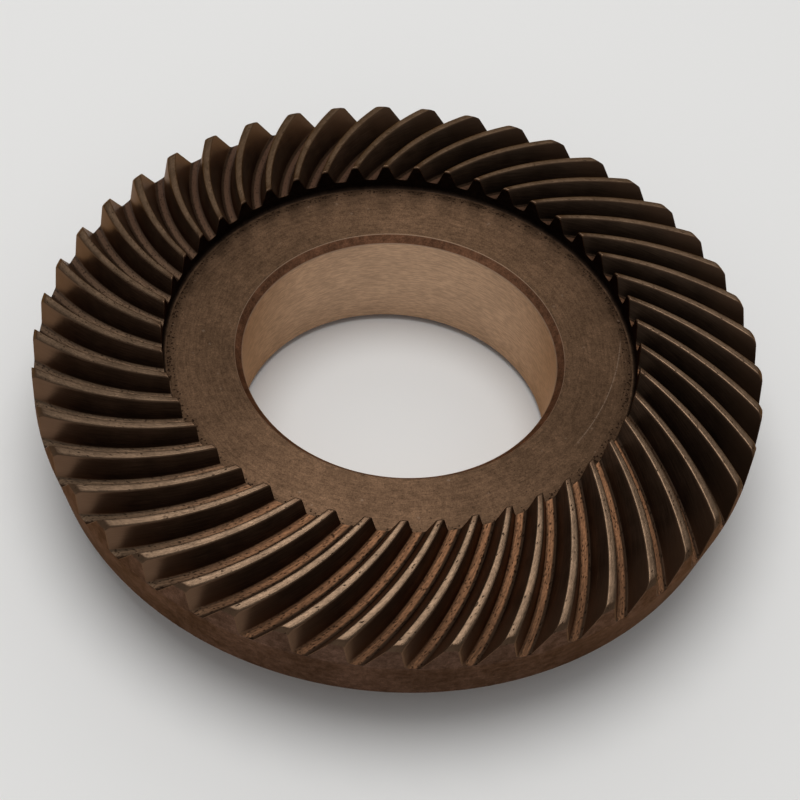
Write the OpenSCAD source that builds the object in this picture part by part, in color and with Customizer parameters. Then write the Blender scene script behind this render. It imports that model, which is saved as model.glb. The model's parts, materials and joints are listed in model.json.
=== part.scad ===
// Spiral bevel crown wheel: one piece of steel, with its tooth spaces cut by a face mill.
// Lengths are in millimetres. The origin is the centre of the back face, on the bore axis.
// +Z points from the back face to the teeth and the apex of their cones.

/* [Teeth] */
// number of teeth
tooth_count = 45; // [30:1:50]
// angle of the first tooth space from +X, degrees
first_space_angle = -2.7; // [-6:0.1:6]
// slope of the tooth tips below the horizontal, degrees
face_slope = 10; // [9:0.5:11]
// slope of the tooth roots below the horizontal, degrees
root_slope = 14.5; // [13.5:0.5:15.5]
// height of the cones' apex above the hub face
apex_h = 13.8; // [13.2:0.1:15]
// radius of the toe wall, at the inner end of the teeth
toe_r = 45; // [44:0.5:48]
// radius of the heel, the outer end of the teeth
heel_r = 69; // [66:0.5:72]
// bevel on the inner end of each tooth tip
toe_bevel = 0.4; // [0.2:0.1:0.8]
// bevel on the outer end of each tooth tip
heel_bevel = 0.7; // [0.3:0.1:1.2]

/* [Face mill] */
// diameter of the circle that the blades run on
mill_d = 127; // [100:0.1:130]
// spiral angle in the middle of the face width, degrees
spiral_angle = 35.5; // [30:0.5:40]
// width of the blade's point, and so of a tooth space at its root
point_w = 1.9; // [1.2:0.05:2.2]
// angle of the blade's sides, degrees
blade_angle = 20; // [16:0.5:23]
// radius of the blade's corners
blade_r = 0.45; // [0.2:0.05:0.7]

/* [Hub] */
// height of the hub face above the back face
hub_h = 23.5; // [20:0.5:30]
// bore diameter
bore_d = 60; // [50:0.5:64]
// 45 degree bevel at both ends of the bore
bore_bevel = 1.5; // [0.5:0.1:3]
// radius in the corner between the hub face and the toe wall
hub_fillet = 0.8; // [0.5:0.1:1.6]

/* [Back] */
// depth of the straight part of the rim below the hub face
rim_straight = 4.3; // [3:0.1:6]
// slope of the rim below its straight part, degrees from the bore axis
rim_slope = 12; // [0:0.5:20]
// depth of the rim's lower edge below the hub face
rim_depth = 15.2; // [12:0.1:18]
// slope of the back between the rim and the back face, degrees from the bore axis
back_slope = 45; // [30:1:55]

/* [Hidden] */
$fn = 180;
bore_r = bore_d / 2;
apex_z = hub_h + apex_h;
toe_z = apex_z - toe_r * tan(face_slope);
toe_land_r = toe_r + toe_bevel;
toe_land_z = apex_z - toe_land_r * tan(face_slope);
heel_land_r = heel_r - heel_bevel;
heel_land_z = apex_z - heel_land_r * tan(face_slope);
rim_top_z = hub_h - rim_straight;
rim_low_z = hub_h - rim_depth;
rim_low_r = heel_r - (rim_depth - rim_straight) * tan(rim_slope);
back_r = rim_low_r - rim_low_z * tan(back_slope);
fillet_x = toe_r - hub_fillet;
fillet_z = hub_h + hub_fillet;

// the mill's axis in a tooth space's own frame: x runs out along the root cone, z stands square to it
mill_r = mill_d / 2;
mean_cone = (toe_r + heel_r) / 2 / cos(root_slope);
mill_x = mean_cone - mill_r * sin(spiral_angle);
mill_y = -mill_r * cos(spiral_angle);
mill_mid = 90 - spiral_angle;
// the sweep runs past the toe and the heel by this share of the face width
overrun = 1.25;
mill_reach = overrun * (heel_r - toe_r) / 2 / (mill_r * cos(spiral_angle)) * 180 / PI;

// the blade stands clear of the highest tooth tip
blade_clear = 0.7;
blade_h = (heel_r * (tan(root_slope) - tan(face_slope)) + blade_clear) / cos(root_slope);
blade_top_x = point_w / 2 + blade_h * tan(blade_angle);
corner_x = point_w / 2 - blade_r * (1 - sin(blade_angle)) / cos(blade_angle);
corner_steps = 3;

// half of the turned blank's section: x is the radius, y is the height
module blank_section() {
  polygon([
    [bore_r, bore_bevel],
    [bore_r + bore_bevel, 0],
    [back_r, 0],
    [rim_low_r, rim_low_z],
    [heel_r, rim_top_z],
    [heel_r, heel_land_z - heel_bevel],
    [heel_land_r, heel_land_z],
    [toe_land_r, toe_land_z],
    [toe_r, toe_z - toe_bevel],
    [toe_r, fillet_z],
    [fillet_x, fillet_z],
    [fillet_x, hub_h],
    [bore_r + bore_bevel, hub_h],
    [bore_r, hub_h - bore_bevel]
  ]);
  // the rounded corner between the hub face and the toe wall
  difference() {
    translate([fillet_x, hub_h - hub_fillet])
      square([hub_fillet + toe_bevel, 2 * hub_fillet]);
    translate([fillet_x, fillet_z])
      circle(r = hub_fillet);
  }
}

// one side of the blade, 1 or -1, from the corner of its point on y = 0 up to its top
function blade_side(side) = [
  for (i = [0:corner_steps])
    let(a = i * (90 - blade_angle) / corner_steps)
      [side * (corner_x + blade_r * sin(a)), blade_r * (1 - cos(a))],
  [side * blade_top_x, blade_h]
];

function backwards(list) = [for (i = [len(list) - 1:-1:0]) list[i]];

module blade() {
  polygon(concat(blade_side(1), backwards(blade_side(-1))));
}

// one tooth space: the blade swept about the mill's axis, which stands square to the root cone
module tooth_space() {
  rotate([0, root_slope, 0])
    translate([mill_x, mill_y, 0])
      rotate([0, 0, mill_mid - mill_reach])
        rotate_extrude(angle = 2 * mill_reach)
          translate([mill_r, 0])
            blade();
}

module crown_wheel() {
  color([0.42, 0.35, 0.29])
    difference() {
      rotate_extrude()
        blank_section();
      for (i = [0:tooth_count - 1])
        translate([0, 0, apex_z])
          rotate([0, 0, first_space_angle + i * 360 / tooth_count])
            tooth_space();
    }
}

crown_wheel();
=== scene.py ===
import json
from math import cos, pi, radians, sin, tan

import bpy
import numpy as np
from mathutils import Matrix, Vector


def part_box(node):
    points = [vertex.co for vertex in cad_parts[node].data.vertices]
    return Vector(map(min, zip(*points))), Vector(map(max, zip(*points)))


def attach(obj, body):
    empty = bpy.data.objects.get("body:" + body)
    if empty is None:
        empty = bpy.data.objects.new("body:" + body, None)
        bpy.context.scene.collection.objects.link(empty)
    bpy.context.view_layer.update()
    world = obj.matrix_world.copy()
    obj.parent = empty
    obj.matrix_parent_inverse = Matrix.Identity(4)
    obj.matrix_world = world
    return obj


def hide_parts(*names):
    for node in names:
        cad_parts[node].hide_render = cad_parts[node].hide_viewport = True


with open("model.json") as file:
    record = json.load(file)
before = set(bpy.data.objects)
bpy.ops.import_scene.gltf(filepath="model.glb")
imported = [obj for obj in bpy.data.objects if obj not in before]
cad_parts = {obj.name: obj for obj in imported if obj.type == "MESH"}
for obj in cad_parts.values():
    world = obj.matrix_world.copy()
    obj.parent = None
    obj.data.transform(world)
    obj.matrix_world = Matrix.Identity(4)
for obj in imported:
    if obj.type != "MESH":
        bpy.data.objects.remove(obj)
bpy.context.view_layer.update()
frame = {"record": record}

# Lengths are in millimetres until the mesh is made, and angles in radians.
MM = 0.001
NODE = "crown_wheel"
MOUNTS = {mount["name"]: mount for mount in frame["record"]["mounts"]}

# ---------------------------------------------------------------- sizes from the frame
HEEL_R = round(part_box(NODE)[1].x / MM, 1)
HUB_Z = MOUNTS["hub_face"]["pos_m"][2] / MM
BORE_R = MOUNTS["bore"]["dims"]["r_mm"]

# ---------------------------------------------------------------- driving sizes, as in part.scad
TEETH = 45
FIRST_SPACE = radians(-2.7)
FACE_SLOPE = radians(10)
ROOT_SLOPE = radians(14.5)
APEX_Z = HUB_Z + 13.8
TOE_R = 45.0
TOE_BEVEL = 0.4
HEEL_BEVEL = 0.7
MILL_R = 63.5
SPIRAL = radians(35.5)
POINT_HALF = 0.95
BLADE_ANGLE = radians(20)
BLADE_R = 0.45
BORE_BEVEL = 1.5
HUB_FILLET = 0.8
RIM_TOP_Z = HUB_Z - 4.3
RIM_LOW_Z = HUB_Z - 15.2
RIM_SLOPE = radians(12)
BACK_SLOPE = radians(45)

# ---------------------------------------------------------------- derived sizes
PITCH = 2 * pi / TEETH
MEAN_CONE = (TOE_R + HEEL_R) / 2 / cos(ROOT_SLOPE)
MILL_X = MEAN_CONE - MILL_R * sin(SPIRAL)
MILL_Y = -MILL_R * cos(SPIRAL)
MILL_MID = pi / 2 - SPIRAL
CORNER_X = POINT_HALF - BLADE_R * (1 - sin(BLADE_ANGLE)) / cos(BLADE_ANGLE)
CORNER_SWEEP = pi / 2 - BLADE_ANGLE
RIM_LOW_R = HEEL_R - (RIM_TOP_Z - RIM_LOW_Z) * tan(RIM_SLOPE)
BACK_R = RIM_LOW_R - RIM_LOW_Z * tan(BACK_SLOPE)
# the flat hub face ends here, where the rounded corner starts
HUB_R = TOE_R - HUB_FILLET

# ---------------------------------------------------------------- wear on the edges
# the edge rounded at the toe and heel walls, and at the tips down the flank and along the land
WALL_EDGE = 0.14
TIP_EDGE = 0.26
LAND_EDGE = 0.3
# each space's lower side has its tip worn to a flat band that widens along the land to the heel
HEEL_BAND = 0.62
# how full an edge's curve is: 0 is a straight bevel, and 1 is pulled all the way to the sharp corner
ROUND, FLAT = 0.95, 0.55
# the share of the face width where that band starts to widen
WEAR_START = 0.45
# how far the heel bevel's upper edge is softened to either side
HEEL_SOFT = 0.3

# ---------------------------------------------------------------- how fine the mesh is
# evenly spaced rows across the teeth, between the close ones at the toe and heel
ROWS_BETWEEN = 26
# points in each ring of the turned faces
COARSE = 8 * TEETH
# from the end of the toe wall to the level ring under the teeth; the heel's ring is half as far
LEVEL_GAP = 0.35
# on a turned face, the longest step and the distance of its first and last points from a rounding
LONGEST_STEP = 4.0
SUPPORT_GAP = 0.12
# the room that each tooth space has in the tooth UV map
UV_PITCH = 20.0
# what the tip and root gaps say away from the tips and roots
FAR_GAP = 20.0


def fade(value, start, end):
    """0 at start, 1 at end, smooth between."""
    share = np.clip((value - start) / (end - start), 0, 1)
    return share * share * (3 - 2 * share)


def tooth_top(r):
    """Height of the tooth tips at radius r: the face cone, rounded at the toe and bevelled at the heel."""
    inside = np.clip(TOE_BEVEL - (r - TOE_R), 0, TOE_BEVEL)
    toe_drop = TOE_BEVEL - np.sqrt(TOE_BEVEL ** 2 - inside ** 2)
    past = HEEL_BEVEL - (HEEL_R - r)
    near = np.clip(HEEL_SOFT - abs(past), 0, HEEL_SOFT)
    heel_drop = np.maximum(past, 0) + near ** 2 / (4 * HEEL_SOFT)
    return APEX_Z - r * tan(FACE_SLOPE) - toe_drop - heel_drop


def edge_offset(r):
    """How far the broken edge at the toe and heel walls stands back from a tooth space's surface."""
    inside = np.clip(WALL_EDGE - np.minimum(r - TOE_R, HEEL_R - r), 0, WALL_EDGE)
    return WALL_EDGE - np.sqrt(WALL_EDGE ** 2 - inside ** 2)


def on_circle(r, x, n):
    """Angle and height at radius r of a line in a tooth space, x from its middle and n above its root."""
    mill = MILL_R + x
    turn = np.full(np.broadcast(r, x, n).shape, MILL_MID)
    # Newton's method for the turn round the mill's axis that reaches radius r
    for _ in range(8):
        px = cos(ROOT_SLOPE) * (MILL_X + mill * np.cos(turn)) + n * sin(ROOT_SLOPE)
        py = MILL_Y + mill * np.sin(turn)
        slope = 2 * mill * (py * np.cos(turn) - px * cos(ROOT_SLOPE) * np.sin(turn))
        turn = turn - (px * px + py * py - r * r) / slope
    along = MILL_X + mill * np.cos(turn)
    px = cos(ROOT_SLOPE) * along + n * sin(ROOT_SLOPE)
    py = MILL_Y + mill * np.sin(turn)
    return np.arctan2(py, px), APEX_Z - along * sin(ROOT_SLOPE) + n * cos(ROOT_SLOPE)


def flank_x(n, offset):
    """How far from its middle a tooth space's flank lies, n above its root."""
    return POINT_HALF + n * tan(BLADE_ANGLE) + offset / cos(BLADE_ANGLE)


def tip_height(r, side, offset):
    """How far above its root a tooth space's flank reaches the tooth tip at radius r."""
    # from a guess near the teeth's whole depth, each step closes in
    n = np.full(r.shape, 5.0)
    for _ in range(10):
        z = on_circle(r, side * flank_x(n, offset), n)[1]
        n = n + (tooth_top(r) - z) / cos(ROOT_SLOPE)
    return n


def half_space(r, side, land_edge, fullness):
    """One side of a tooth space, from the root's middle to the land.

    Each column holds, for every radius in r, the angle, the height, the distance down the flank from
    the rounded tip edge (less than 0 on the edge itself), the height above the root, and the side.
    The side runs from 0 in the root's middle to 1 or -1 at the root's corners and beyond."""
    offset = edge_offset(r)
    tip_n = tip_height(r, side, offset)
    foot_n = tip_n - TIP_EDGE * cos(BLADE_ANGLE)
    columns = []

    def add(x, n):
        gaps = (foot_n - n) / cos(BLADE_ANGLE), np.maximum(n, 0)
        columns.append((*on_circle(r, side * x, n), *gaps, 0 * r + side * min(np.min(x) / CORNER_X, 1)))

    # the flat root, the round corner and the flank
    reach = BLADE_R + offset
    for share in (0, 0.5, 1):
        add(CORNER_X * share, -offset)
    for share in (0.25, 0.5, 0.75, 1):
        add(CORNER_X + reach * sin(CORNER_SWEEP * share), BLADE_R - reach * cos(CORNER_SWEEP * share))
    low_n = BLADE_R - reach * cos(CORNER_SWEEP)
    for share in (0.3, 0.62, 0.93, 1):
        n = low_n + (foot_n - low_n) * share
        add(flank_x(n, offset), n)
    # the rounded edge: a curve from the flank to the land, pulled towards the sharp corner
    foot = np.array(columns[-1][:2])
    corner = np.array(on_circle(r, side * flank_x(tip_n, offset), tip_n))
    end = corner + np.array([side * land_edge / r, 0 * r])
    end[1] = tooth_top(r)
    middle = (foot + end) / 2
    pull = middle + (corner - middle) * fullness
    for t in (0.25, 0.5, 0.75, 1):
        angle, height = (1 - t) ** 2 * foot + 2 * t * (1 - t) * pull + t * t * end
        columns.append((angle, height, -t * (TIP_EDGE + land_edge), tip_n, 0 * r + side))
    return columns


def row_radii():
    """Radii of the rows across the teeth, close together at both ends."""
    from_toe = [0, 0.015, 0.045, 0.09, 0.14, 0.2, 0.28, 0.38, 0.5]
    from_heel = [0.88, 0.78, 0.7, 0.62, 0.45, 0.26, 0.14, 0.09, 0.045, 0.015, 0]
    first, last = TOE_R + from_toe[-1], HEEL_R - from_heel[0]
    between = np.linspace(first, last, ROWS_BETWEEN + 2)[1:-1]
    return np.concatenate([[TOE_R + x for x in from_toe], between, [HEEL_R - x for x in from_heel]])


class Skin:
    """The wheel's surface: rings of points round the axis and the faces between them."""

    def __init__(self):
        self.points, self.faces, self.zones, self.uvs = [], [], [], []
        self.tip_gaps, self.root_gaps, self.sides = [], [], []

    def ring(self, angles, radius, heights, tip_gap=FAR_GAP, root_gap=FAR_GAP, side=0):
        """Adds a ring of points and returns its first point's number and its angles."""
        first = len(self.points)
        every = np.broadcast_arrays(angles, heights, tip_gap, root_gap, side)
        self.points.extend(zip(radius * np.cos(angles), radius * np.sin(angles), every[1]))
        self.tip_gaps.extend(every[2])
        self.root_gaps.extend(every[3])
        self.sides.extend(every[4])
        return first, np.array(angles)

    def strip(self, inner, outer, zone, inner_uv=None, outer_uv=None):
        """Quads between two rings of the same count."""
        count = len(inner[1])
        for i in range(count):
            j = (i + 1) % count
            self.faces.append((inner[0] + i, outer[0] + i, outer[0] + j, inner[0] + j))
            self.zones.append(zone)
            if inner_uv is None:
                self.uvs.extend(((0, 0),) * 4)
            else:
                self.uvs.extend((inner_uv[i], outer_uv[i], outer_uv[i + 1], inner_uv[i + 1]))

    def seam(self, inner, outer, zone):
        """Triangles between two rings of different counts."""
        (a, a_angles), (b, b_angles) = inner, outer
        a_count, b_count = len(a_angles), len(b_angles)
        lead = (b_angles - a_angles[0] + pi) % (2 * pi) - pi
        start = int(np.argmin(abs(lead)))
        a_turn = np.append(a_angles, a_angles[0] + 2 * pi) - a_angles[0]
        b_turn = np.append((np.roll(b_angles, -start) - b_angles[start]) % (2 * pi), 2 * pi) + lead[start]
        i = j = 0
        while i < a_count or j < b_count:
            here = (a + i % a_count, b + (start + j) % b_count)
            if j == b_count or (i < a_count and a_turn[i + 1] <= b_turn[j + 1]):
                i += 1
                self.faces.append((*here, a + i % a_count))
            else:
                j += 1
                self.faces.append((*here, b + (start + j) % b_count))
            self.zones.append(zone)
            self.uvs.extend(((0, 0),) * 3)


def add_teeth(skin):
    """The toothed face, one ring of points for each row from toe to heel. Returns the rings."""
    radii = row_radii()
    share = (radii - TOE_R) / (HEEL_R - TOE_R)
    wear = fade(share, WEAR_START, 1.0)
    band = LAND_EDGE + (HEEL_BAND - LAND_EDGE) * wear
    lower = half_space(radii, -1, band, ROUND + (FLAT - ROUND) * wear)
    upper = half_space(radii, 1, LAND_EDGE + 0 * radii, ROUND)
    # the land, from this space's upper side to the next space's lower side
    land = []
    for part in (0.33, 0.67):
        angle = upper[-1][0] + (lower[-1][0] + PITCH - upper[-1][0]) * part
        flat = 0 * radii
        land.append((angle, tooth_top(radii), flat - FAR_GAP, upper[-1][3], flat + 1 - 2 * part))
    columns = np.array(lower[::-1] + upper[1:] + land)
    angle, height = columns[:, 0], columns[:, 1]
    across = np.zeros_like(angle)
    across[1:] = np.cumsum(np.hypot(np.diff(angle, axis=0) * radii, np.diff(height, axis=0)), axis=0)
    spaces = np.arange(TEETH)[:, None]
    rings, uvs = [], []
    for row, radius in enumerate(radii):
        angles = (FIRST_SPACE + PITCH * spaces + angle[None, :, row]).ravel()
        every = [np.tile(columns[:, k, row], TEETH) for k in (1, 2, 3, 4)]
        rings.append(skin.ring(angles, radius, *every))
        sideways = np.append((UV_PITCH * spaces + across[None, :, row]).ravel(), UV_PITCH * TEETH)
        uvs.append([(radius - TOE_R, x) for x in sideways])
    for k in range(len(rings) - 1):
        skin.strip(rings[k], rings[k + 1], "teeth", uvs[k], uvs[k + 1])
    return rings


def add_wall(skin, profile, radius, level, shares, zone, outwards):
    """The end wall under a row of tooth profiles, down to a level ring, which it returns.

    Shares say how much of the profile each ring between them keeps."""
    first, angles = profile
    heights = np.array([point[2] for point in skin.points[first:first + len(angles)]])
    upper = profile
    for share in (*shares, 0):
        lower = skin.ring(angles, radius, level + (heights - level) * share)
        pair = (upper, lower) if outwards else (lower, upper)
        skin.strip(*pair, zone)
        upper = lower
    return upper


def unit(v):
    return v / np.hypot(*v)


def rounded_section(corners):
    """Points of a half section through corners of (radius, height, rounding, zone of the line after it).

    The two end corners only aim the first and last lines. A point close to each rounding keeps the
    shading of the flat faces flat."""
    here = [np.array(corner[:2]) for corner in corners]
    trim = [0.0]
    for k in range(1, len(corners) - 1):
        angle = np.arccos(unit(here[k - 1] - here[k]) @ unit(here[k + 1] - here[k]))
        trim.append(corners[k][2] / tan(angle / 2))
    trim.append(0.0)
    points = []
    for k in range(1, len(corners) - 1):
        back, onward = unit(here[k - 1] - here[k]), unit(here[k + 1] - here[k])
        start, end = here[k] + back * trim[k], here[k] + onward * trim[k]
        zone = corners[k][3]
        for t in (0, 0.25, 0.5, 0.75, 1):
            points.append((*((1 - t) ** 2 * start + 2 * t * (1 - t) * here[k] + t * t * end), zone))
        room = np.hypot(*(here[k + 1] - here[k])) - trim[k] - trim[k + 1]
        support = min(SUPPORT_GAP, room / 4)
        steps = max(1, round(room / LONGEST_STEP))
        for distance in (support, *(room * np.arange(1, steps) / steps), room - support):
            points.append((*(end + onward * distance), zone))
    return points


def add_turned_faces(skin, toe_level, heel_level):
    """Rim, back, bore and hub face, from the heel wall's level ring round to the toe wall's."""
    toe_z, heel_z = HUB_Z + HUB_FILLET + LEVEL_GAP, RIM_TOP_Z + LEVEL_GAP
    corners = [
        (HEEL_R, heel_z, 0, "rim"),
        (HEEL_R, RIM_TOP_Z, 1.2, "rim"),
        (RIM_LOW_R, RIM_LOW_Z, 0.6, "back"),
        (BACK_R, 0, 0.4, "back"),
        (BORE_R + BORE_BEVEL, 0, 0.15, "bevel"),
        (BORE_R, BORE_BEVEL, 0.15, "bore"),
        (BORE_R, HUB_Z - BORE_BEVEL, 0.12, "bevel"),
        (BORE_R + BORE_BEVEL, HUB_Z, 0.12, "hub"),
        (TOE_R, HUB_Z, HUB_FILLET, "toe_wall"),
        (TOE_R, toe_z, 0, "toe_wall"),
    ]
    angles = heel_level[1][0] + 2 * pi / COARSE * np.arange(COARSE)
    before, zone = None, "rim"
    for radius, height, next_zone in rounded_section(corners):
        ring = skin.ring(angles, radius, height)
        if before is None:
            skin.seam(heel_level, ring, zone)
        else:
            skin.strip(before, ring, zone)
        before, zone = ring, next_zone
    skin.seam(before, toe_level, zone)


def gear_mesh(materials):
    skin = Skin()
    rings = add_teeth(skin)
    toe_z, heel_z = HUB_Z + HUB_FILLET + LEVEL_GAP, RIM_TOP_Z + LEVEL_GAP / 2
    toe_level = add_wall(skin, rings[0], TOE_R, toe_z, (0.96, 0.4), "toe_wall", False)
    heel_level = add_wall(skin, rings[-1], HEEL_R, heel_z, (0.97, 0.4), "rim", True)
    add_turned_faces(skin, toe_level, heel_level)
    mesh = bpy.data.meshes.new("wheel")
    mesh.from_pydata((np.array(skin.points) * MM).tolist(), [], skin.faces)
    zones = list(materials)
    for zone in zones:
        mesh.materials.append(materials[zone])
    mesh.polygons.foreach_set("material_index", [zones.index(zone) for zone in skin.zones])
    layer = mesh.uv_layers.new(name="tooth")
    layer.data.foreach_set("uv", np.array(skin.uvs, np.float32).ravel())
    for name, values in (("tip_gap", skin.tip_gaps), ("root_gap", skin.root_gaps), ("side", skin.sides)):
        attribute = mesh.attributes.new(name, "FLOAT", "POINT")
        attribute.data.foreach_set("value", np.array(values, np.float32))
    mesh.shade_smooth()
    mesh.validate()
    return mesh


# ---------------------------------------------------------------- materials
# the brown film keeps its colour at low angles
GRAZING_TINT = (0.6, 0.44, 0.33)
# most values of a noise lie between these
NOISE_LOW, NOISE_HIGH = 0.3, 0.7


class Shade:
    """One material's node tree, with a short call for each kind of node used here.

    Positions come in millimetres. A socket or a plain number can stand for any value."""

    def __init__(self, name, metallic=1.0):
        self.material = bpy.data.materials.new(name)
        self.material.use_nodes = True
        self.tree = self.material.node_tree
        self.shader = self.tree.nodes["Principled BSDF"]
        self.shader.inputs["Metallic"].default_value = metallic
        self.shader.inputs["Specular Tint"].default_value = (*GRAZING_TINT, 1)

    def node(self, kind, inputs=(), **settings):
        made = self.tree.nodes.new("ShaderNode" + kind)
        for key, value in settings.items():
            setattr(made, key, value)
        for key, value in dict(inputs).items():
            self.feed(made.inputs[key], value)
        return made

    def feed(self, socket, value):
        if isinstance(value, bpy.types.NodeSocket):
            self.tree.links.new(value, socket)
        elif hasattr(value, "__len__") and len(value) == 3 and len(socket.default_value) == 4:
            socket.default_value = (*value, 1)
        else:
            socket.default_value = value

    def math(self, operation, first, second=0.0, third=0.0):
        return self.node("Math", {0: first, 1: second, 2: third}, operation=operation).outputs[0]

    def vector(self, x, y, z):
        return self.node("CombineXYZ", {0: x, 1: y, 2: z}).outputs[0]

    def stretch(self, point, scales):
        return self.node("VectorMath", {0: point, 1: scales}, operation="MULTIPLY").outputs[0]

    def place(self):
        """The point on the wheel, in millimetres."""
        point = self.node("TexCoord").outputs["Object"]
        return self.node("VectorMath", {0: point, 3: 1 / MM}, operation="SCALE").outputs[0]

    def axis(self, point, index):
        """A point's x, y or z."""
        return self.node("SeparateXYZ", {0: point}).outputs[index]

    def radius(self, point):
        """The distance from the bore axis."""
        flat = self.stretch(point, (1, 1, 0))
        return self.node("VectorMath", {0: flat}, operation="LENGTH").outputs["Value"]

    def around(self, point):
        """The direction away from the bore axis, 1 long."""
        return self.node("VectorMath", {0: self.stretch(point, (1, 1, 0))}, operation="NORMALIZE").outputs[0]

    def noise(self, point, scale, detail, roughness, distortion=0.0):
        inputs = {"Vector": point, "Scale": scale, "Detail": detail}
        inputs.update({"Roughness": roughness, "Distortion": distortion})
        return self.node("TexNoise", inputs).outputs[0]

    def cells(self, point, scale):
        """Distance to the nearest of scattered points."""
        return self.node("TexVoronoi", {"Vector": point, "Scale": scale}).outputs["Distance"]

    def fade(self, value, start, end, low=0.0, high=1.0):
        """low at start, high at end, smooth between."""
        inputs = {0: value, 1: start, 2: end, 3: low, 4: high}
        return self.node("MapRange", inputs, interpolation_type="SMOOTHSTEP").outputs[0]

    def between(self, share, low, high):
        """low where the share is 0, high where it is 1."""
        return self.math("MULTIPLY_ADD", share, high - low, low)

    def mix(self, share, first, second):
        node = self.node("Mix", data_type="RGBA")
        for index, value in ((0, share), (6, first), (7, second)):
            self.feed(node.inputs[index], value)
        return node.outputs[2]

    def tone(self, colour, amount):
        """The colour made darker or lighter by a factor."""
        return self.node("VectorMath", {0: colour, 3: amount}, operation="SCALE").outputs[0]

    def vary(self, colour, noise, low, high):
        """The colour toned by a noise, from low where it is weak to high where it is strong."""
        return self.tone(colour, self.fade(noise, NOISE_LOW, NOISE_HIGH, low, high))

    def bump(self, height, depth_mm):
        inputs = {"Height": height, "Strength": 1.0, "Distance": depth_mm * MM}
        return self.node("Bump", inputs).outputs[0]

    def finish(self, colour, roughness, normal=None, metallic=None):
        self.feed(self.shader.inputs["Base Color"], colour)
        self.feed(self.shader.inputs["Roughness"], roughness)
        if normal is not None:
            self.feed(self.shader.inputs["Normal"], normal)
        if metallic is not None:
            self.feed(self.shader.inputs["Metallic"], metallic)
        return self.material


# linear colours
FLANK_DARK = (0.085, 0.053, 0.035)
FLANK_LIGHT = (0.15, 0.095, 0.062)
LAND = (0.14, 0.091, 0.058)
# painted shade on the lands' rounded edges and ends
EDGE_SHADE_BROWN = (0.09, 0.053, 0.032)
# painted reflection on the flanks near the heel
HEEL_REFLECTION_BROWN = (0.135, 0.074, 0.043)
FLECK = (0.22, 0.15, 0.105)
RUST = (0.31, 0.148, 0.072)
ROOT_TAN = (0.24, 0.155, 0.095)
# painted shade on the roots toward +y
ROOT_FAR_SHADE = (0.075, 0.036, 0.02)
ROOT_DARK = (0.035, 0.02, 0.012)
PIT = (0.02, 0.011, 0.007)
HUB = (0.112, 0.065, 0.038)
BORE = (0.5, 0.335, 0.22)
BEVEL = (0.175, 0.083, 0.046)
RIM = (0.118, 0.069, 0.05)
TOE_WALL = (0.016, 0.01, 0.007)
# painted highlight along the bevel's edges
EDGE_HIGHLIGHT = (0.45, 0.31, 0.21)
# a scratch on the hub face, as a circle about this point in x and y
SCRATCH_MIDDLE, SCRATCH_R = (-13.0, 9.8), 55.0


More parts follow.
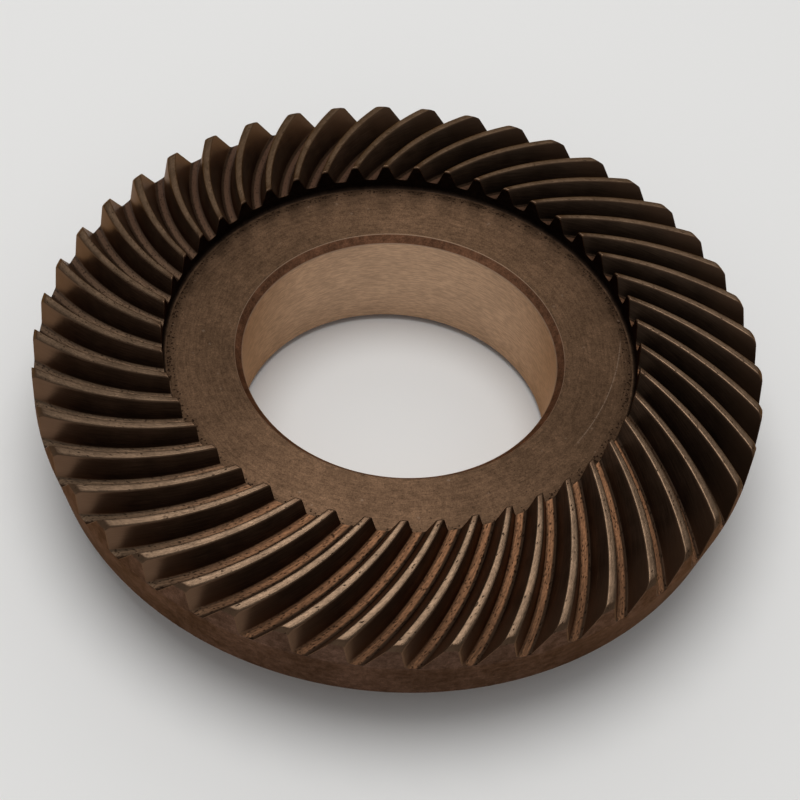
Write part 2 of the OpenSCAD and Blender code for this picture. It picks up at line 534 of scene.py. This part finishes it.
def teeth_material():
    """Flanks, worn lands and rusty roots, told apart by the gaps that the mesh holds."""
    s = Shade("tooth steel")
    point = s.place()
    across = s.node("UVMap", uv_map="tooth").outputs[0]
    # from the toe, so that the heel is at 24 mm
    along = s.axis(across, 0)
    tip_gap = s.node("Attribute", attribute_name="tip_gap").outputs["Fac"]
    root_gap = s.node("Attribute", attribute_name="root_gap").outputs["Fac"]
    side = s.node("Attribute", attribute_name="side").outputs["Fac"]
    streak = s.noise(s.stretch(across, (0.22, 4.5, 1)), 1.0, 4.0, 0.6)
    fine = s.noise(s.stretch(across, (0.8, 9, 1)), 1.0, 2.0, 0.5)
    blotch = s.noise(point, 0.22, 3.0, 0.55)
    grain = s.noise(across, 2.2, 3.0, 0.65)
    speckle = s.math("SUBTRACT", grain, 0.5)
    flank = s.mix(s.fade(streak, NOISE_LOW, NOISE_HIGH), FLANK_DARK, FLANK_LIGHT)
    flank = s.vary(flank, blotch, 0.8, 1.15)
    # painted shade: the flanks darker down toward the roots
    flank = s.tone(flank, s.fade(root_gap, 0.1, 2.2, 0.4, 1.0))
    # painted reflection: the flanks turn a lighter brown toward the heel, where they see open surroundings
    heel_reflection_share = s.fade(along, 15.5, 21.5, 0.0, 0.7)
    flank = s.mix(heel_reflection_share, flank, HEEL_REFLECTION_BROWN)
    # toward +x and +y, painted shade makes flanks and roots darker and painted light makes lands lighter
    x, y = s.axis(point, 0), s.axis(point, 1)
    painted_shading_side = s.math("MULTIPLY_ADD", x, 0.9, s.math("MULTIPLY", y, 0.6))
    painted_shading_side = s.fade(painted_shading_side, 18.0, 45.0)
    flank = s.tone(flank, s.between(painted_shading_side, 1.0, 0.47))
    # worn lands, with brown painted shade on their rounded edges and at their toe and heel ends, and a few
    # dark pits
    ragged = s.math("MULTIPLY_ADD", speckle, 0.2, tip_gap)
    # painted shade: brown along the foot of each rounded tip edge
    edge_shade_share = s.fade(ragged, -0.16, 0.02, 1.0, 0.0)
    land_share = s.fade(ragged, -0.42, -0.14, 1.0, 0.0)
    land = s.vary(LAND, blotch, 0.85, 1.15)
    land = s.vary(land, streak, 0.9, 1.1)
    land = s.vary(land, grain, 0.74, 1.26)
    land = s.vary(land, s.noise(across, 0.8, 3.0, 0.6), 0.84, 1.14)
    # painted shade: the land darker toward its lower side
    land = s.tone(land, s.fade(side, -1.0, -0.3, 0.86, 1.0))
    # painted light: lands lighter toward +x and +y
    land = s.tone(land, s.between(painted_shading_side, 1.0, 1.18))
    # painted shade: brown at the lands' toe and heel ends, where the bevels turn away from the light
    land = s.mix(s.fade(along, 0.6, 2.4, 0.8, 0.0), land, EDGE_SHADE_BROWN)
    land = s.mix(s.fade(along, 22.7, 23.4, 0.0, 0.8), land, EDGE_SHADE_BROWN)
    land_spots = s.math("MULTIPLY_ADD", speckle, 0.7, s.cells(across, 1.1))
    land_pits = s.fade(land_spots, 0.1, 0.22, 1.0, 0.0)
    # roots with a rusty film, streaks and deeper pits; the rust is darker toward the heel, and painted shade
    # darkens it toward +y
    root_share = s.math("MULTIPLY_ADD", s.math("SUBTRACT", streak, 0.5), 0.12, root_gap)
    root_share = s.fade(root_share, 0.02, 0.2, 1.0, 0.0)
    lengthwise = s.noise(s.stretch(across, (0.3, 3.2, 1)), 1.0, 3.0, 0.6)
    rust = s.mix(s.fade(x, -48.0, -12.0), ROOT_TAN, RUST)
    rust = s.vary(rust, lengthwise, 0.6, 1.3)
    rust = s.vary(rust, grain, 0.7, 1.3)
    rust = s.tone(rust, s.fade(along, 9.0, 22.0, 1.0, 0.55))
    # painted shade: roots darker toward +y
    rust = s.mix(s.fade(y, -30.0, 45.0), rust, ROOT_FAR_SHADE)
    # painted shade: roots a little darker toward +x and +y
    rust = s.tone(rust, s.between(painted_shading_side, 1.0, 0.9))
    rust = s.tone(rust, s.fade(side, -1.0, -0.7, 0.55, 1.0))
    dark_share = s.fade(side, 0.35, 0.95)
    rust = s.mix(dark_share, rust, ROOT_DARK)
    root_spots = s.cells(s.stretch(across, (1.0, 1.3, 1)), 1.5)
    root_spots = s.math("MULTIPLY_ADD", speckle, 0.9, root_spots)
    root_pits = s.fade(root_spots, 0.14, 0.34, 1.0, 0.0)
    colour = s.mix(root_share, flank, rust)
    colour = s.mix(edge_shade_share, colour, EDGE_SHADE_BROWN)
    colour = s.mix(land_share, colour, land)
    land_pits = s.math("MULTIPLY", land_share, land_pits)
    pits = s.math("MAXIMUM", land_pits, s.math("MULTIPLY", root_share, root_pits))
    colour = s.mix(s.math("MULTIPLY", pits, 0.75), colour, PIT)
    roughness = s.math("MULTIPLY_ADD", streak, 0.16, 0.28)
    roughness = s.math("MULTIPLY_ADD", root_share, 0.3, roughness)
    roughness = s.math("MULTIPLY_ADD", land_share, -0.03, roughness)
    roughness = s.math("MULTIPLY_ADD", pits, 0.3, roughness)
    rusty = s.math("MULTIPLY", root_share, s.math("SUBTRACT", 1.0, dark_share))
    metallic = s.math("MULTIPLY_ADD", rusty, -0.65, 0.9)
    metallic = s.math("MULTIPLY_ADD", heel_reflection_share, -0.12, metallic)
    metallic = s.math("MULTIPLY_ADD", edge_shade_share, 0.1, metallic)
    height = s.math("MULTIPLY", s.math("ADD", streak, s.math("MULTIPLY", fine, 0.5)), 0.35)
    height = s.math("MULTIPLY_ADD", pits, -1.0, height)
    height = s.math("MULTIPLY_ADD", s.math("MULTIPLY", land_share, grain), 0.25, height)
    return s.finish(colour, roughness, s.bump(height, 0.04), metallic)


def turned(s, point, level, lines_per_mm, wander, detail=3.0, roughness=0.6):
    """Fine lines that run round the bore axis, one after another as the level grows.

    Wander is how much the lines change on their way round."""
    rings = s.vector(0.0, 0.0, s.math("MULTIPLY", level, lines_per_mm))
    turn = s.tone(s.around(point), wander)
    both = s.node("VectorMath", {0: turn, 1: rings}, operation="ADD").outputs[0]
    return s.noise(both, 1.0, detail, roughness)


def hub_material():
    """Turned steel with stains, pits near its edge, pale flecks and one scratch."""
    s = Shade("hub face steel")
    point = s.place()
    radius = s.radius(point)
    lines = turned(s, point, radius, 2.6, 9.0)
    fine = turned(s, point, radius, 7.0, 20.0)
    blotch = s.noise(point, 0.12, 4.0, 0.6)
    grain = s.noise(point, 1.6, 4.0, 0.7)
    speckle = s.math("SUBTRACT", grain, 0.5)
    colour = s.vary(HUB, lines, 0.84, 1.16)
    colour = s.vary(colour, blotch, 0.88, 1.12)
    colour = s.vary(colour, grain, 0.8, 1.2)
    colour = s.vary(colour, s.noise(point, 0.6, 3.0, 0.6), 0.9, 1.1)
    colour = s.vary(colour, s.noise(point, 3.4, 3.0, 0.7), 0.76, 1.24)
    edge = s.math("MULTIPLY_ADD", speckle, 3.0, radius)
    colour = s.tone(colour, s.fade(edge, HUB_R - 2.2, HUB_R, 1.0, 0.72))
    # pits gather near the outer edge
    spots = s.math("MULTIPLY_ADD", speckle, 0.9, s.cells(point, 1.5))
    size = s.fade(radius, HUB_R - 2.7, HUB_R, 0.0, 0.36)
    pits = s.fade(s.math("SUBTRACT", spots, size), -0.04, 0.1, 1.0, 0.0)
    colour = s.mix(s.math("MULTIPLY", pits, 0.7), colour, PIT)
    flecks = s.math("MULTIPLY_ADD", speckle, 0.3, s.cells(point, 0.3))
    flecks = s.fade(flecks, 0.05, 0.09, 1.0, 0.0)
    colour = s.mix(s.math("MULTIPLY", flecks, 0.5), colour, FLECK)
    # one long scratch, part of a wide circle
    away = s.node("VectorMath", {0: point, 1: (*SCRATCH_MIDDLE, 0)}, operation="SUBTRACT").outputs[0]
    gap = s.math("ABSOLUTE", s.math("SUBTRACT", s.radius(away), SCRATCH_R))
    scratch = s.math("MULTIPLY", s.fade(gap, 0.04, 0.14, 1.0, 0.0), s.fade(grain, 0.35, 0.55, 0.2, 1.0))
    scratch = s.math("MULTIPLY", scratch, s.fade(s.axis(point, 1), -20.0, -16.0))
    scratch = s.math("MULTIPLY", scratch, s.fade(s.axis(point, 1), 6.0, 10.0, 1.0, 0.0))
    scratch = s.math("MULTIPLY", scratch, s.fade(s.axis(point, 0), 0.0, 10.0))
    colour = s.mix(s.math("MULTIPLY", scratch, 0.8), colour, FLECK)
    roughness = s.math("MULTIPLY_ADD", lines, 0.14, 0.34)
    roughness = s.math("MULTIPLY_ADD", pits, 0.3, roughness)
    relief = s.math("MULTIPLY_ADD", fine, 0.3, s.math("MULTIPLY", lines, 0.3))
    relief = s.math("MULTIPLY_ADD", grain, 0.3, relief)
    relief = s.math("MULTIPLY_ADD", pits, -1.0, relief)
    s.shader.inputs["Anisotropic"].default_value = 0.6
    s.shader.inputs["Anisotropic Rotation"].default_value = 0.25
    tangent = s.node("Tangent", direction_type="RADIAL", axis="Z").outputs[0]
    s.feed(s.shader.inputs["Tangent"], tangent)
    return s.finish(colour, roughness, s.bump(relief, 0.03))


def bore_material():
    """Bright ground steel with streaks that run round the bore."""
    s = Shade("ground bore steel")
    point = s.place()
    streaks = turned(s, point, s.axis(point, 2), 3.4, 15.0, 4.0, 0.65)
    blotch = s.noise(point, 0.16, 3.0, 0.5)
    colour = s.mix(s.fade(streaks, 0.35, 0.65), s.tone(BORE, 0.8), s.tone(BORE, 1.15))
    colour = s.vary(colour, blotch, 0.95, 1.05)
    roughness = s.math("MULTIPLY_ADD", streaks, 0.16, 0.34)
    return s.finish(colour, roughness, s.bump(streaks, 0.012))


def worn_material(name, base, low_rough, edges=(), foot=None):
    """Turned steel with stains, for the rim, back, bevels and toe wall.

    Edges are radii where a painted highlight runs as a bright line. Foot is the colour of the rounded corner
    at the foot of the toe wall."""
    s = Shade(name)
    point = s.place()
    radius = s.radius(point)
    lines = turned(s, point, s.math("ADD", radius, s.axis(point, 2)), 2.5, 8.0)
    blotch = s.noise(point, 0.1, 4.0, 0.6)
    grain = s.noise(point, 3.0, 3.0, 0.65)
    colour = s.vary(base, lines, 0.9, 1.1)
    if foot is not None:
        colour = s.mix(s.fade(radius, HUB_R, TOE_R - 0.3), foot, colour)
    colour = s.vary(colour, blotch, 0.78, 1.2)
    colour = s.vary(colour, s.noise(point, 0.7, 4.0, 0.65), 0.72, 1.25)
    colour = s.vary(colour, grain, 0.75, 1.25)
    stains = s.fade(s.noise(point, 0.35, 3.0, 0.6, 0.6), 0.6, 0.72)
    colour = s.mix(s.math("MULTIPLY", stains, 0.35), colour, s.tone(base, 0.45))
    # painted highlight: a bright line along each of these edge radii
    for edge in edges:
        gap = s.math("ABSOLUTE", s.math("SUBTRACT", radius, edge))
        colour = s.mix(s.fade(gap, 0.05, 0.2, 1.0, 0.0), colour, EDGE_HIGHLIGHT)
    roughness = s.math("MULTIPLY_ADD", grain, 0.16, low_rough)
    relief = s.math("MULTIPLY_ADD", grain, 0.4, s.math("MULTIPLY", lines, 0.5))
    return s.finish(colour, roughness, s.bump(relief, 0.02))


MATERIALS = {
    "teeth": teeth_material(),
    "toe_wall": worn_material("toe wall steel", TOE_WALL, 0.5, foot=tuple(0.7 * v for v in HUB)),
    "rim": worn_material("rim steel", RIM, 0.5),
    "back": worn_material("back steel", RIM, 0.5),
    "bevel": worn_material("bevel steel", BEVEL, 0.46, edges=(BORE_R, BORE_R + BORE_BEVEL)),
    "bore": bore_material(),
    "hub": hub_material(),
}


# ---------------------------------------------------------------- camera, floor and light
# fitted to the circles in the photo; the aim is a point on the hub face's plane
CAMERA_AIM = Vector((0.9, -12.7, HUB_Z)) * MM
CAMERA_DISTANCE = 355.6 * MM
CAMERA_ELEVATION = radians(48.87)
CAMERA_ROLL = radians(-5.95)
CAMERA_LENS = 86.2
# in metres
FLOOR_HALF = 2.0
FLOOR_WHITE = (0.88, 0.88, 0.87)


def link(name, data):
    made = bpy.data.objects.new(name, data)
    bpy.context.scene.collection.objects.link(made)
    return made


def add_camera():
    """The camera stands toward -y and looks down at the aim."""
    back = Vector((0, -cos(CAMERA_ELEVATION), sin(CAMERA_ELEVATION)))
    up = Vector((0, sin(CAMERA_ELEVATION), cos(CAMERA_ELEVATION)))
    right = Vector((1, 0, 0))
    level, lean = cos(CAMERA_ROLL), sin(CAMERA_ROLL)
    axes = Matrix((level * right - lean * up, lean * right + level * up, back)).transposed()
    data = bpy.data.cameras.new("camera")
    data.lens = CAMERA_LENS
    data.clip_start, data.clip_end = 0.01, 20
    camera = link("camera", data)
    camera.matrix_world = Matrix.Translation(CAMERA_AIM + back * CAMERA_DISTANCE) @ axes.to_4x4()
    bpy.context.scene.camera = camera


def add_floor():
    mesh = bpy.data.meshes.new("floor")
    signs = ((-1, -1), (1, -1), (1, 1), (-1, 1))
    mesh.from_pydata([(x * FLOOR_HALF, y * FLOOR_HALF, 0) for x, y in signs], [], [(0, 1, 2, 3)])
    mesh.materials.append(Shade("pale floor", metallic=0.0).finish(FLOOR_WHITE, 0.75))
    link("floor", mesh)


def add_softbox(name, place, width, depth, brightness):
    """A round or oval panel that faces the origin, under the wheel. Its place and size are in metres."""
    data = bpy.data.lights.new(name, "AREA")
    data.shape = "ELLIPSE"
    data.size, data.size_y = width, depth
    # so that a panel of any size looks as bright
    data.energy = brightness * pi * pi / 4 * width * depth
    light = link(name, data)
    light.location = place
    light.rotation_euler = (-Vector(place)).to_track_quat("-Z", "Y").to_euler()


def add_world(strength):
    world = bpy.data.worlds.new("studio")
    world.use_nodes = True
    background = world.node_tree.nodes["Background"]
    background.inputs["Color"].default_value = (1, 1, 1, 1)
    background.inputs["Strength"].default_value = strength
    bpy.context.scene.world = world


wheel = link("wheel", gear_mesh(MATERIALS))
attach(wheel, "root")
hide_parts(NODE)

add_camera()
add_floor()
add_world(0.34)
add_softbox("overhead_softbox", (-0.07, 0.11, 0.97), 0.8, 0.8, 3.2)
add_softbox("front_softbox", (0.0, -1.1, 0.5), 1.6, 0.5, 0.3)
add_softbox("back_softbox", (0.0, 1.15, 0.9), 2.9, 0.72, 0.45)
bpy.context.scene.view_settings.view_transform = "Standard"
